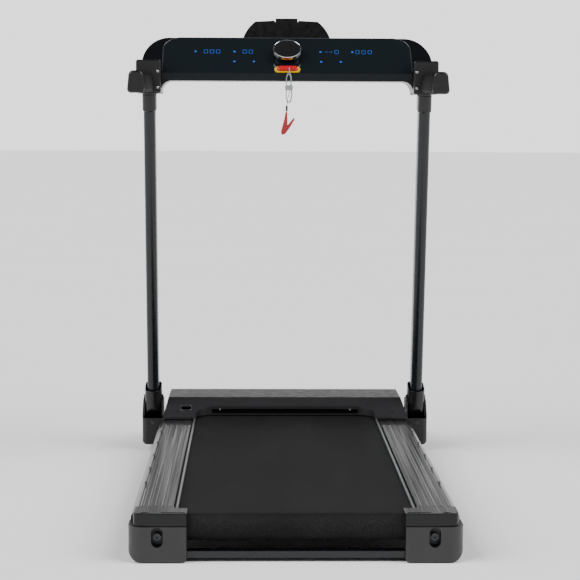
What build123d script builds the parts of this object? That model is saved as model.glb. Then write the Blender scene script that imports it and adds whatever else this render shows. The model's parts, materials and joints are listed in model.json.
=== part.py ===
"""Folding walking treadmill with upright console: one STEP file per piece, in millimetres.

Frame: +X to the user's right, +Y towards the motor end, +Z up, origin on the floor at the deck's centre.
"""
import os
from math import cos, radians, sin, tan

from build123d import *

# ---------------------------------------------------------------- driving dimensions (mm)
# deck
DECK_END = 710.0             # half of the overall length
BELT_HALF = 225.0            # half of the running belt's width
BELT_TOP = 90.0
BELT_THICK = 2.0
ROLLER_Z = 64.0
ROLLER_R = 23.7
ROLLER_HALF = 227.5
BELT_INNER_R = 24.0
REAR_ROLLER_Y = -672.0
FRONT_ROLLER_Y = 515.0
AXLE_R = 6.0
AXLE_CLEAR = 0.06
BEAM_X = (250.0, 292.0)      # side beam, inner and outer face
BEAM_Z = (30.0, 80.0)
BEAM_Y = (-684.0, 640.0)
BEAM_WALL = 2.0
RAIL_TOP = 95.0
RAIL_OUTER = 318.0
RAIL_FRONT_Y = 412.0
RIB_END_Y = 302.0
CAP_FRONT_Y = -640.0
CAP_OUTER = 320.0
CAP_SPLIT_Z = 70.0
BOLT_X, BOLT_Z = 264.0, 50.0

# motor hood
HOOD_HALF = 311.0
HOOD_LIP = (412.0, 97.0)     # Y and Z of the rear lip
HOOD_CREST = (530.0, 130.0)
HOOD_FRONT_Y = 708.0
HOOD_BOTTOM = 12.0
HOOD_WALL = 3.0
RECESS_Y = 474.0             # back wall of the recess over the belt
RECESS_HALF = 226.0

# drive
MOTOR_Y, MOTOR_Z, MOTOR_R = 605.0, 78.0, 42.0
PULLEY_X = (-246.5, -233.5)
ROLLER_PULLEY_R = 38.0
MOTOR_PULLEY_R = 16.0

# uprights: a flat oval tube each side, leaning towards the user
LEAN = 10.72                 # degrees from vertical
HINGE_Y, HINGE_Z = 514.5, 124.0
TUBE_X = 337.5
TUBE_WIDE, TUBE_DEEP, TUBE_WALL = 28.8, 58.0, 2.0
SLEEVE_WIDE, SLEEVE_DEEP = 42.0, 76.0
KNUCKLE_R = 26.0
PIN_R = 8.0
COLLAR_WIDE, COLLAR_DEEP = 34.0, 64.0
TUBE_TOP = 820.0             # along the tube, from the hinge
COLLAR_SPAN = (756.0, 797.5)

# console: a slab tilted towards the user between two pods
PANEL_TILT = 40.6
LIP_Y, LIP_Z = 350.0, 957.0  # lower edge of the sloping face
LIP_BOTTOM = 938.0
PANEL_LENGTH = 138.3         # up the slope
CONSOLE_HALF = 357.0
CONSOLE_CORNER_R = 64.0
PANEL_HALF = 306.0
PANEL_THICK = 2.5
POD_X = (308.0, 369.0)
POD_Y = (330.0, 406.0)
POD_Z = (907.0, 988.0)
GRIP_END_Y = 182.0
KNOB_S = 68.0                # knob centre, up the slope from the lip
KEY_S = 11.5

# safety tether
CORD_D = 1.8
CORD_ROUTE = [
    (4.6, 353.2, 970.8), (4.6, 341.0, 968.0), (10.8, 341.4, 925.0), (10.4, 342.2, 885.0),
    (-2.4, 342.0, 884.6), (-2.8, 341.4, 921.0), (-2.2, 342.0, 957.0), (9.0, 335.6, 957.4),
    (9.6, 335.2, 921.0), (9.2, 335.4, 888.0), (-3.2, 331.4, 887.6), (-3.4, 331.2, 920.0),
    (-3.0, 331.8, 953.0), (10.0, 326.8, 953.4), (6.8, 328.5, 918.0), (-0.9, 336.8, 889.5),
    (-1.4, 338.2, 876.0),
]

HOLDER_Y, HOLDER_Z = 477.0, 1036.0
HOLDER_LEAN = 12.0

UPRIGHT = Plane(
    origin=(0, HINGE_Y, HINGE_Z), x_dir=(1, 0, 0),
    z_dir=(0, -sin(radians(LEAN)), cos(radians(LEAN))),
)
PANEL = Plane(
    origin=(0, LIP_Y, LIP_Z), x_dir=(1, 0, 0),
    z_dir=(0, -sin(radians(PANEL_TILT)), cos(radians(PANEL_TILT))),
)
HOLDER = Plane(
    origin=(0, HOLDER_Y, HOLDER_Z), x_dir=(1, 0, 0),
    z_dir=(0, -cos(radians(HOLDER_LEAN)), sin(radians(HOLDER_LEAN))),
)
SIDE_VIEW = Plane(origin=(0, 0, 0), x_dir=(0, 1, 0), z_dir=(1, 0, 0))
FRONT_VIEW = Plane(origin=(0, 0, 0), x_dir=(1, 0, 0), z_dir=(0, -1, 0))

os.makedirs("parts", exist_ok=True)


# ---------------------------------------------------------------- helpers
def save(shape, name):
    """Write one piece, or one group of like pieces, to its own file."""
    export_step(shape, f"parts/{name}.step")


def block(x, y, z):
    """An axis-aligned block from three (low, high) pairs."""
    size = [max(s) - min(s) for s in (x, y, z)]
    return Pos(sum(x) / 2, sum(y) / 2, sum(z) / 2) * Box(*size)


def rod(radius, x, y, z):
    """A round bar along X."""
    return Pos(sum(x) / 2, y, z) * Rot(0, 90, 0) * Cylinder(radius, max(x) - min(x))


def rod_y(radius, x, y, z):
    """A round bar along Y."""
    return Pos(x, sum(y) / 2, z) * Rot(90, 0, 0) * Cylinder(radius, max(y) - min(y))


def rod_z(radius, x, y, z):
    """A round bar along Z."""
    return Pos(x, y, sum(z) / 2) * Cylinder(radius, max(z) - min(z))


def mirrored(shape):
    """The same piece on the other side."""
    return mirror(shape, about=Plane.YZ)


def both(shape):
    """A like piece on each side, kept as separate solids in one group."""
    return Compound(children=list(shape.solids()) + list(mirrored(shape).solids()))


def group(shapes):
    """Separate solids kept together in one file."""
    return Compound(children=[s for shape in shapes for s in shape.solids()])


def save_pair(shape, name):
    """The piece drawn at +X is the user's right one."""
    save(shape, f"{name}_right")
    save(mirrored(shape), f"{name}_left")


def side_prism(points, x):
    """A Y-Z outline run along X."""
    face = SIDE_VIEW * Polygon(*points, align=None)
    return Pos(min(x), 0, 0) * extrude(face, max(x) - min(x), dir=(1, 0, 0))


def front_prism(sketch, y):
    """An X-Z outline run along Y."""
    face = FRONT_VIEW * sketch
    return Pos(0, min(y), 0) * extrude(face, max(y) - min(y), dir=(0, 1, 0))


def outline(points, radii):
    """A closed polygon with its own radius at each corner that has one."""
    sketch = Polygon(*points, align=None)
    for point, radius in zip(points, radii):
        if radius > 0:
            corner = sketch.vertices().sort_by_distance((point[0], point[1], 0))[0]
            sketch = fillet(corner, radius)
    return sketch


def stadium(width, height):
    """A rounded slot outline, as wide as width along X."""
    if width > height:
        return SlotOverall(width, height)
    return Rot(0, 0, 90) * SlotOverall(height, width)


def on_panel(s, n=0.0, x=0.0):
    """A place on the sloping face: s up the slope and n out of it."""
    return PANEL * Pos(x, s, n)


# ---------------------------------------------------------------- deck frame
def side_beam():
    y_mid = (BEAM_Y[0], BEAM_Y[1])
    beam = block(BEAM_X, y_mid, BEAM_Z)
    inner_x = (BEAM_X[0] + BEAM_WALL, BEAM_X[1] - BEAM_WALL)
    inner_z = (BEAM_Z[0] + BEAM_WALL, BEAM_Z[1] - BEAM_WALL)
    beam -= block(inner_x, (BEAM_Y[0] - 1, BEAM_Y[1] + 1), inner_z)
    slot = (REAR_ROLLER_Y - AXLE_R - 4, REAR_ROLLER_Y + AXLE_R + 4)
    beam -= block((BEAM_X[0] - 1, BEAM_X[1] + 1), slot, (ROLLER_Z - AXLE_R, ROLLER_Z + AXLE_R))
    beam -= rod(AXLE_R, (BEAM_X[0] - 1, BEAM_X[1] + 1), FRONT_ROLLER_Y, ROLLER_Z)
    return beam


CROSSBAR_Y = (-560.0, -200.0, 160.0, 430.0)
CROSSBAR_Z = (46.0, 62.0)


def crossbars():
    """Bars between the two belt runs, two under the motor, and the open one at the rear."""
    inner = BEAM_X[0]
    bars = [block((-inner, inner), (y - 20, y + 20), CROSSBAR_Z) for y in CROSSBAR_Y]
    for y in (575.0, 626.0):
        bars.append(block((-BEAM_X[1], BEAM_X[1]), (y - 12, y + 12), (16, BEAM_Z[0])))
    bars.append(block((-BEAM_X[1], BEAM_X[1]), (-697, -672), (8, 21)))
    return group(bars)


def deck_board():
    return block((-BEAM_X[0] + 1, BEAM_X[0] - 1), (-638, 466), (70, 87.8))


def deck_cushions():
    pads = []
    for y in CROSSBAR_Y:
        for x in (-205, 205):
            pads.append(block((x - 20, x + 20), (y - 15, y + 15), (CROSSBAR_Z[1], 70)))
    return group(pads)


def belt_loop(radius, half_width):
    span = FRONT_ROLLER_Y - REAR_ROLLER_Y
    middle = (FRONT_ROLLER_Y + REAR_ROLLER_Y) / 2
    face = SIDE_VIEW * Pos(middle, ROLLER_Z) * SlotCenterToCenter(span, 2 * radius)
    return Pos(-half_width, 0, 0) * extrude(face, 2 * half_width, dir=(1, 0, 0))


def running_belt():
    outer = belt_loop(BELT_INNER_R + BELT_THICK, BELT_HALF)
    return outer - belt_loop(BELT_INNER_R, BELT_HALF + 1)


def roller_axles():
    reach = BEAM_X[1]
    rear = rod(AXLE_R, (-reach + 3, reach - 3), REAR_ROLLER_Y, ROLLER_Z)
    front = rod(AXLE_R, (-reach, reach), FRONT_ROLLER_Y, ROLLER_Z)
    return group([rear, front])


def tension_block():
    """Slides in the beam's open end and carries the rear axle."""
    body = block((BEAM_X[0] + 2.5, BEAM_X[1] - 2.5), (-681, -660), (38, 76))
    body -= rod(AXLE_R, (BEAM_X[0], BEAM_X[1]), REAR_ROLLER_Y, ROLLER_Z)
    return body - rod_y(4.06, BOLT_X, (-690, -640), BOLT_Z)


# ---------------------------------------------------------------- foot rails and end caps
RIB_COUNT = 5
PLATE_X = (235.0, 303.0)


def foot_rail():
    """A ribbed top plate that slopes down into an outer skirt."""
    inner, outer = PLATE_X
    points = [(RAIL_OUTER, 22), (RAIL_OUTER, 77), (outer, RAIL_TOP)]
    pitch = (outer - inner) / RIB_COUNT
    for i in range(RIB_COUNT):
        middle = outer - pitch * (i + 0.5)
        points += [(middle + 3.4, RAIL_TOP), (middle + 1.6, RAIL_TOP + 1)]
        points += [(middle - 1.6, RAIL_TOP + 1), (middle - 3.4, RAIL_TOP)]
    points += [(inner, RAIL_TOP), (inner, 88.2), (inner + 2.5, 88.2), (inner + 2.5, 92)]
    points += [(outer - 1.4, 92), (RAIL_OUTER - 3, 75.5), (RAIL_OUTER - 3, 22)]
    rail = front_prism(Polygon(*points, align=None), (CAP_FRONT_Y, RAIL_FRONT_Y))
    rail -= block((230, RAIL_OUTER + 1), (RIB_END_Y, RAIL_FRONT_Y + 1), (89.5, 100))
    ledge = block((inner + 0.5, 310), (RIB_END_Y - 3, RAIL_FRONT_Y), (87.9, 90))
    return rail + (ledge - block((inner - 1, 262), (RIB_END_Y - 4, RIB_END_Y), (80, 91)))


def rail_strip():
    """The bright strip between the belt and the ribbed plate."""
    return block((226.5, 231), (-652, RAIL_FRONT_Y), (87.8, 94.5))


def cap_shell(inset):
    """The end cap's rounded block, drawn in by inset."""
    low, high = 208 + inset, CAP_OUTER - inset
    rear = -DECK_END + inset
    floor, top = 2 + inset, CAP_SPLIT_Z
    plan = [(low, CAP_FRONT_Y), (low, rear), (high, rear), (high, CAP_FRONT_Y)]
    upright = extrude(outline(plan, [0, 4, 28 - inset, 0]), 100)
    front = [(low, floor), (high, floor), (high, top), (low, top)]
    return upright & front_prism(outline(front, [6, 24 - inset, 0, 0]), (rear, CAP_FRONT_Y))


def end_cap():
    """Rear corner cover with an oval pocket for the belt's tension bolt."""
    cavity = cap_shell(3.5) & block((232, CAP_OUTER), (-706, CAP_FRONT_Y + 1), (0, 66.5))
    cap = cap_shell(0) - Pos(0, 0.1, 0) * cavity
    cap -= block((200, 229), (-701, CAP_FRONT_Y + 1), (0, 80))
    boss = front_prism(Pos(BOLT_X, BOLT_Z) * stadium(28, 45), (-708, -686.5))
    cap += boss & block((232, 300), (-709, -680), (5, 69))
    cap -= front_prism(Pos(BOLT_X, BOLT_Z) * stadium(22, 39), (-712, -689))
    cap -= rod_y(4.4, BOLT_X, (-700, -680), BOLT_Z)
    cap -= rod(AXLE_R + 0.3, (225, 255), REAR_ROLLER_Y, ROLLER_Z)
    cap -= block((BEAM_X[0] - 0.5, BEAM_X[1] + 0.5), (-684.5, CAP_FRONT_Y + 1), (29, 81))
    return cap - block((220, BEAM_X[1] + 0.5), (-697.5, -671.5), (7.5, 21.5))


def cap_top():
    """Glossy band and flat top, set in from the cap body, with a tab over the belt's edge."""
    with BuildSketch() as plan:
        with BuildLine():
            Line((208, CAP_FRONT_Y), (208, -704))
            ThreePointArc((208, -704), (258, -707), (300, -702))
            ThreePointArc((300, -702), (307, -699), (310, -691))
            Line((310, -691), (310, CAP_FRONT_Y))
            Line((310, CAP_FRONT_Y), (208, CAP_FRONT_Y))
        make_face()
    top = Pos(0, 0, CAP_SPLIT_Z) * extrude(plan.sketch, RAIL_TOP + 0.6 - CAP_SPLIT_Z)
    top -= block((200, 229), (-701, -600), (60, 92))
    top -= block((200, 234.5), (-655, -600), (60, 100))
    top -= block((BEAM_X[0] - 1, BEAM_X[1] + 0.5), (-684.5, -600), (60, 81))
    top -= block((229, BEAM_X[0]), (-698, -600), (60, 92))
    top -= block((213, 257), (-699, -695.5), (93, 100))
    return top - block((281, 295), (-699, -695.5), (93, 100))


def belt_bolt():
    """Hexagon-socket bolt that pulls the rear axle back."""
    bolt = rod_y(4, BOLT_X, (-697, -645), BOLT_Z) + rod_y(7, BOLT_X, (-704, -697), BOLT_Z)
    socket = FRONT_VIEW * Pos(BOLT_X, BOLT_Z) * RegularPolygon(3.5, 6)
    return bolt - Pos(0, -705, 0) * extrude(socket, 5, dir=(0, 1, 0))


def rubber_feet():
    rear = rod_z(10, 297, -688, (0, 12)) - cap_shell(0)
    front = rod_z(14, 271, 596, (0, HOOD_BOTTOM))
    return group([both(rear), both(front)])


# ---------------------------------------------------------------- motor hood
def hood_block(inset, recess):
    """The hood's outer form, drawn in by inset, with the recess widened by it."""
    lip_y, lip_z = HOOD_LIP
    crest_y, crest_z = HOOD_CREST
    bottom = HOOD_BOTTOM - (1 if inset else 0)
    front = HOOD_FRONT_Y - inset
    side = [(lip_y + inset, bottom), (lip_y + inset, lip_z - inset), (crest_y + 1, crest_z - inset)]
    side += [(690 - inset, crest_z - 2 - inset), (front, 108), (front, bottom)]
    form = side_prism(side, (-HOOD_HALF, HOOD_HALF))
    half = HOOD_HALF - inset
    ends = [(-half, bottom), (half, bottom), (half, 90), (half - 14, 140), (14 - half, 140), (-half, 90)]
    form &= front_prism(Polygon(*ends, align=None), (400, 720))
    plan = [(-half, 400), (half, 400), (half - 6, front), (6 - half, front)]
    form &= extrude(outline(plan, [0, 0, 24 - inset, 24 - inset]), 200)
    wall = RECESS_HALF + inset
    cut = [(-wall, 380), (wall, 380), (wall, RECESS_Y + inset), (-wall, RECESS_Y + inset)]
    notch = extrude(outline(cut, [0, 0, 42 + inset, 42 + inset]), 200)
    return form - notch if recess else form


def motor_hood():
    hood = hood_block(0, True) - hood_block(HOOD_WALL, True)
    hood -= block((-304, 304), (400, 480), (0, 91.6))
    hood -= block((-RECESS_HALF - 1, RECESS_HALF + 1), (400, 480), (0, 92.4))
    pocket_x, pocket_y = (-265, -239), (452, 478)
    floor = block((-269, -235), (448, 482), (100, 106))
    hood += floor & hood_block(0, True)
    hood -= block(pocket_x, pocket_y, (103, 140))
    for x in (-272, 272):
        hood -= rod_z(4.2, x, 446, (90, 140))
    for side in (-1, 1):
        wall = sorted((side * 305, side * 313))
        hood -= block(wall, (482, 547), (HOOD_BOTTOM - 2, 31))
    return hood - block((-250, -150), (700, 712), (34, 74))


def hood_screws():
    screws = []
    for x in (-272, 272):
        head = rod_z(4.2, x, 446, (99, 102.5))
        socket = block((x - 2.6, x + 2.6), (445.5, 446.5), (101, 103))
        screws.append(head - socket)
    return group(screws)


def belly_pan():
    pan = hood_block(HOOD_WALL + 0.2, False) & block((-310, 310), (424, 710), (HOOD_BOTTOM, 15))
    for x in (-271, 271):
        pan -= block((x - 15, x + 15), (640, 702), (10, 20))
        pan -= rod_z(14, x, 596, (10, 20))
    return pan


# ---------------------------------------------------------------- drive
def roller(pulley):
    tube = rod(ROLLER_R, (-ROLLER_HALF, ROLLER_HALF), 0, 0)
    tube -= rod(ROLLER_R - 3, (8 - ROLLER_HALF, ROLLER_HALF - 8), 0, 0)
    if pulley:
        tube += rod(ROLLER_PULLEY_R, PULLEY_X, 0, 0) + rod(16, (PULLEY_X[1], -ROLLER_HALF), 0, 0)
    return tube - rod(AXLE_R + AXLE_CLEAR, (-260, 260), 0, 0)


def motor_case():
    case = rod(MOTOR_R, (-150, 10), MOTOR_Y, MOTOR_Z)
    for x in (-150, 10):
        case = case + rod(MOTOR_R - 8, (x - 4, x + 4), MOTOR_Y, MOTOR_Z)
    return case - rod(6.06, (-170, 40), MOTOR_Y, MOTOR_Z)


def motor_rotor():
    """Shaft, drive pulley and flywheel fan, as they turn together."""
    rotor = rod(6, (PULLEY_X[0], 34), MOTOR_Y, MOTOR_Z)
    rotor += rod(MOTOR_PULLEY_R, PULLEY_X, MOTOR_Y, MOTOR_Z)
    fan = rod(38, (20, 34), MOTOR_Y, MOTOR_Z)
    for i in range(8):
        window = Pos(27, MOTOR_Y, MOTOR_Z) * Rot(i * 45, 0, 0) * Pos(0, 0, 24)
        fan -= window * Rot(0, 90, 0) * Cylinder(6, 20)
    return rotor + fan


def motor_bracket():
    plate = block((-150, 10), (560, 640), (BEAM_Z[0], 36))
    cradle = block((-130, -10), (575, 635), (36, 50))
    return (plate + cradle) - rod(MOTOR_R, (-200, 60), MOTOR_Y, MOTOR_Z)


def motor_controller():
    box = block((70, 210), (560, 670), (BEAM_Z[0], 58))
    for i in range(9):
        y = 568 + 12 * i
        box += block((75, 205), (y, y + 3), (58, 74))
    return box


def pulley_hull(extra, x):
    """The band round both pulleys, grown by extra."""
    big = Pos(FRONT_ROLLER_Y, ROLLER_Z) * Circle(ROLLER_PULLEY_R + extra)
    small = Pos(MOTOR_Y, MOTOR_Z) * Circle(MOTOR_PULLEY_R + extra)
    face = SIDE_VIEW * make_hull(big.edges() + small.edges())
    return Pos(x[0], 0, 0) * extrude(face, x[1] - x[0], dir=(1, 0, 0))


def drive_belt():
    width = (PULLEY_X[0] + 1, PULLEY_X[1] - 1)
    return pulley_hull(2.8, width) - pulley_hull(0.3, (width[0] - 1, width[1] + 1))


INLET_Z = 54.0
SWITCH_X = (-179.0, -161.0)


def power_inlet():
    """Mains socket and the frame of the power switch."""
    plate = block((-249.5, -150.5), (702, DECK_END), (34.5, 73.5))
    housing = block((-238, -192), (682, 702), (40, 68))
    inlet = plate + housing
    inlet -= block((-234, -196), (686, DECK_END + 1), (44, 64))
    inlet += block((-227, -203), (686, 703), (50, 58))
    well_x = (SWITCH_X[0] - 0.6, SWITCH_X[1] + 0.6)
    return inlet - block(well_x, (700, 712), (INLET_Z - 12.5, INLET_Z + 12.5))


def power_switch():
    """Rocker with a shallow V face, lying with one end pressed in."""
    points = [(-6, -5), (1, -10.5), (4.2, -10.5), (2.6, 0), (4.2, 10.5), (1, 10.5), (-6, 5)]
    rocker = side_prism(points, SWITCH_X)
    return Pos(0, 704, INLET_Z) * Rot(8, 0, 0) * rocker


# ---------------------------------------------------------------- transport wheels
WHEEL_X, WHEEL_Y, WHEEL_Z, WHEEL_R = 271.0, 672.0, 26.0, 25.0


def transport_wheel():
    wheel = rod(WHEEL_R, (WHEEL_X - 9, WHEEL_X + 9), WHEEL_Y, WHEEL_Z)
    for x in (WHEEL_X - 9, WHEEL_X + 9):
        wheel -= rod(18, (x - 3, x + 3), WHEEL_Y, WHEEL_Z) - rod(8, (x - 4, x + 4), WHEEL_Y, WHEEL_Z)
    return wheel - rod(5 + AXLE_CLEAR, (WHEEL_X - 20, WHEEL_X + 20), WHEEL_Y, WHEEL_Z)


def wheel_bracket():
    """Two cheeks off the beam's end, with the wheel's axle."""
    cheeks = block((WHEEL_X - 13, WHEEL_X - 10.2), (640, 690), (14, 62))
    cheeks += block((WHEEL_X + 10.2, WHEEL_X + 13), (640, 690), (14, 62))
    cheeks += block((WHEEL_X - 13, WHEEL_X + 13), (640, 645), (52, 62))
    return cheeks + rod(5, (WHEEL_X - 15, WHEEL_X + 15), WHEEL_Y, WHEEL_Z)


# ---------------------------------------------------------------- fold hinges
EAR_INNER = (312.6, 316.0)
EAR_OUTER = (359.0, 362.0)
COVER_OUTER = 364.5
COVER_RIM = 84.5
BUTTON_Z = 75.0


def ear(x):
    plate = block(x, (HINGE_Y - 24, HINGE_Y + 24), (24, HINGE_Z))
    return plate + rod(16, x, HINGE_Y, HINGE_Z) - rod(PIN_R, (x[0] - 1, x[1] + 1), HINGE_Y, HINGE_Z)


def hinge_bracket():
    """Steel fork that carries one upright's pin."""
    base = block((BEAM_X[0] + 20, EAR_OUTER[1]), (HINGE_Y - 30, HINGE_Y + 30), (24, BEAM_Z[0]))
    return base + ear(EAR_INNER) + ear(EAR_OUTER)


def hinge_pin():
    return rod(PIN_R, (EAR_INNER[0], EAR_OUTER[1]), HINGE_Y, HINGE_Z)


def cover_form(inset):
    low, high = 312.2, COVER_OUTER - inset
    near, far = 470 + inset, 560 - inset
    floor = 17 + inset
    plan = [(low, near), (high, near), (high, far), (low, far)]
    form = extrude(outline(plan, [0, 12 - inset, 12 - inset, 0]), 200)
    front = [(low, floor), (high, floor), (high, 127), (low, 127)]
    return form & front_prism(outline(front, [0, 12 - inset, 0, 0]), (460, 570))


def hinge_cover():
    """Plastic cup round the hinge, its rim falling away where the upright folds down."""
    cover = cover_form(0) - cover_form(2.4) - block((300, 359), (472.4, 557.6), (20, 130))
    cover -= block((300, 362.2), (465, 505), (COVER_RIM, 130))
    rim = [(460, COVER_RIM), (478, COVER_RIM), (512, 128), (460, 128)]
    cover -= side_prism(rim, (300, 370))
    cover -= block((300, 362.2), (HINGE_Y - 24.2, HINGE_Y + 24.2), (23, 130))
    cover -= rod(16.2, (310, 362.2), HINGE_Y, HINGE_Z)
    cover -= block((300, 362.2), (HINGE_Y - 30.2, HINGE_Y + 30.2), (23.5, 30.5))
    return cover - rod_y(5.4, TUBE_X, (460, 480), BUTTON_Z)


def lock_button():
    return rod_y(5, TUBE_X, (466.5, 478), BUTTON_Z) + rod_y(3, TUBE_X, (478, 498), BUTTON_Z)


# ---------------------------------------------------------------- uprights
def along_tube(sketch, span, x=TUBE_X):
    """A section run along the leaning upright, from the hinge outwards."""
    return UPRIGHT * Pos(x, 0, span[0]) * extrude(sketch, span[1] - span[0])


def upright_tube():
    outer = stadium(TUBE_WIDE, TUBE_DEEP)
    inner = stadium(TUBE_WIDE - 2 * TUBE_WALL, TUBE_DEEP - 2 * TUBE_WALL)
    x = (TUBE_X - TUBE_WIDE / 2, TUBE_X + TUBE_WIDE / 2)
    tube = along_tube(outer, (0, TUBE_TOP)) - along_tube(inner, (30, TUBE_TOP + 1))
    tube += rod(KNUCKLE_R, x, HINGE_Y, HINGE_Z)
    return tube - rod(PIN_R + 0.06, (x[0] - 1, x[1] + 1), HINGE_Y, HINGE_Z)


def upright_sleeve():
    """Plastic shroud over the foot of the tube, with a slanted open mouth."""
    x = (TUBE_X - SLEEVE_WIDE / 2, TUBE_X + SLEEVE_WIDE / 2)
    sleeve = along_tube(stadium(SLEEVE_WIDE, SLEEVE_DEEP), (0, 60))
    round_end = rod(SLEEVE_DEEP / 2, x, HINGE_Y, HINGE_Z)
    sleeve += round_end & along_tube(stadium(SLEEVE_WIDE, SLEEVE_DEEP), (-60, 10))
    sleeve -= along_tube(stadium(TUBE_WIDE, TUBE_DEEP), (0, 70))
    sleeve -= along_tube(stadium(SLEEVE_WIDE - 6, SLEEVE_DEEP - 6), (16, 70))
    sleeve -= rod(KNUCKLE_R, (TUBE_X - TUBE_WIDE / 2, TUBE_X + TUBE_WIDE / 2), HINGE_Y, HINGE_Z)
    sleeve -= rod(PIN_R + 0.5, (x[0] - 1, x[1] + 1), HINGE_Y, HINGE_Z)
    return sleeve - UPRIGHT * Pos(TUBE_X, 0, 69) * Rot(4.5, 0, 0) * Box(80, 120, 60)


def upright_collar():
    """Ferrule between the tube and the pod."""
    collar = along_tube(stadium(COLLAR_WIDE, COLLAR_DEEP), COLLAR_SPAN)
    collar = chamfer(collar.faces().sort_by(Axis.Z)[0].edges(), 2)
    collar &= block((300, 380), (300, 460), (800, POD_Z[0]))
    return collar - along_tube(stadium(TUBE_WIDE, TUBE_DEEP), (700, TUBE_TOP + 10))


# ---------------------------------------------------------------- console
def slope_point(s, n):
    """Y and Z of a place up the slope and out of it."""
    tilt = radians(PANEL_TILT)
    return (LIP_Y + s * cos(tilt) - n * sin(tilt), LIP_Z + s * sin(tilt) + n * cos(tilt))


def console_section(inset):
    """Side outline of the slab, drawn in by inset."""
    return [
        (LIP_Y + inset, LIP_BOTTOM + inset), slope_point(inset * 0.4, -inset),
        slope_point(PANEL_LENGTH - inset, -inset), (467 - inset, 1044 - inset * 0.6),
        (471 - inset, 1030), (446 - inset, LIP_BOTTOM + inset),
    ]


def console_front():
    """Front outline: a slab whose ends turn down into the pods."""
    half, inner = CONSOLE_HALF, POD_X[0]
    top = LIP_Z + PANEL_LENGTH * sin(radians(PANEL_TILT))
    right = [(0, top), (half, top), (half, POD_Z[0]), (inner, POD_Z[0])]
    right += [(inner, LIP_BOTTOM), (0, LIP_BOTTOM)]
    sketch = outline(right, [0, CONSOLE_CORNER_R, 0, 0, 25, 0])
    return sketch + mirror(sketch, about=Plane.YZ)


def console_form():
    """The slab and its two down-turned ends in one."""
    legs = [
        (LIP_Y, POD_Z[0]), (LIP_Y, LIP_Z), slope_point(PANEL_LENGTH, 0), (467, 1044), (471, 1030),
        (440, POD_Z[0]),
    ]
    return front_prism(console_front(), (300, 500)) & side_prism(legs, (-CONSOLE_HALF, CONSOLE_HALF))


def panel_form():
    """A skin over the slope and down over the lip, with rounded corners."""
    skin = [
        (LIP_Y, LIP_BOTTOM), (LIP_Y, LIP_Z), slope_point(PANEL_LENGTH - 1.5, 0),
        slope_point(PANEL_LENGTH - 1.5, -PANEL_THICK), slope_point(1.0, -PANEL_THICK),
        (LIP_Y + PANEL_THICK, LIP_BOTTOM),
    ]
    half = PANEL_HALF
    face = [(-half, LIP_BOTTOM), (half, LIP_BOTTOM), (half, 1100), (-half, 1100)]
    trimmed = outline(face, [16, 16, 0, 0])
    cut = front_prism(trimmed, (300, 500)) & side_prism(skin, (-half, half))
    top = PANEL_LENGTH - 1.5
    corner = outline([(-half, -60), (half, -60), (half, top), (-half, top)], [0, 0, 44, 44])
    return cut & (PANEL * Pos(0, 0, -60) * extrude(corner, 120))


def console_panel():
    panel = panel_form() - on_panel(KNOB_S) * Cylinder(6, 30)
    return panel


def console_shell():
    """Housing behind the panel, hollow, with two ears for the tablet holder."""
    cavity = side_prism(console_section(4), (-292, 292))
    shell = console_form() - panel_form()
    for side in (-1, 1):
        x = sorted((side * (POD_X[0] - 0.1), side * (POD_X[1] + 1)))
        shell -= block(x, (300, POD_Y[1]), (900, POD_Z[1]))
    shell -= cavity & (PANEL * Pos(0, 60, -PANEL_THICK - 40) * Box(800, 300, 76))
    shell -= on_panel(KNOB_S, -4) * Cylinder(6, 12)
    for side in (-1, 1):
        ear_x = sorted((side * 92, side * 98))
        shell += block(ear_x, (468, HOLDER_Y + 4), (HOLDER_Z - 5, HOLDER_Z + 5))
        stub = sorted((side * 84, side * 93))
        shell += rod(2, stub, HOLDER_Y, HOLDER_Z)
    return shell


def display_board():
    board = on_panel(72, -9) * Box(460, 84, 1.6)
    return board - on_panel(KNOB_S, -9) * Cylinder(6, 10)


def console_pod():
    """Block that joins the upright, the console's end and the grip."""
    pod = block(POD_X, POD_Y, POD_Z)
    pod = fillet(pod.edges().filter_by(Axis.Y), 5)
    pod = fillet(pod.faces().sort_by(Axis.Y)[0].edges(), 4)
    return pod - along_tube(stadium(TUBE_WIDE, TUBE_DEEP), (700, TUBE_TOP))


def grip_section(x, y, z, wide_low, wide_high, tall):
    """Rounded trapezoid, narrower at the top."""
    low, high = wide_low / 2, wide_high / 2
    points = [(-low, -tall / 2), (low, -tall / 2), (high, tall / 2), (-high, tall / 2)]
    plane = Plane(origin=(x, y, z), x_dir=(1, 0, 0), z_dir=(0, -1, 0))
    return plane * outline(points, [9, 9, 12, 12])


def hand_grip():
    """Grip that runs from the pod towards the user, flaring outwards."""
    root = grip_section(343, POD_Y[0], 932, 38, 30, 46)
    middle = grip_section(348, 262, 932, 40, 31, 49)
    tip = grip_section(359, GRIP_END_Y + 8, 931, 45, 35, 53)
    return loft([root, middle, tip])


def grip_cap():
    near = grip_section(359, GRIP_END_Y + 8, 931, 45, 35, 53)
    far = grip_section(359.6, GRIP_END_Y, 931, 41, 31, 49)
    return loft([near, far])


def key_dock():
    dock = on_panel(KEY_S) * extrude(stadium(63, 20), 4)
    return dock - on_panel(KEY_S, 1) * extrude(stadium(51.8, 15.4), 4)


def knob_encoder():
    body = on_panel(KNOB_S, -15) * Box(16, 16, 9)
    return body - on_panel(KNOB_S, -14) * Cylinder(4.06, 20)


# ---------------------------------------------------------------- controls
def knob_shaft():
    return on_panel(KNOB_S, 0) * Pos(0, 0, -3) * Cylinder(4, 30)


def knob_base():
    base = on_panel(KNOB_S, 8) * Cylinder(30, 12)
    return base - on_panel(KNOB_S, 0) * Cylinder(4.06, 26)


def knob_ring():
    ring = Cylinder(35, 9.5) - Cylinder(31.4, 20)
    ring = fillet(ring.edges().filter_by(GeomType.CIRCLE).sort_by(Axis.Z)[-1], 1.2)
    return on_panel(KNOB_S, 18.75) * ring


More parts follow.
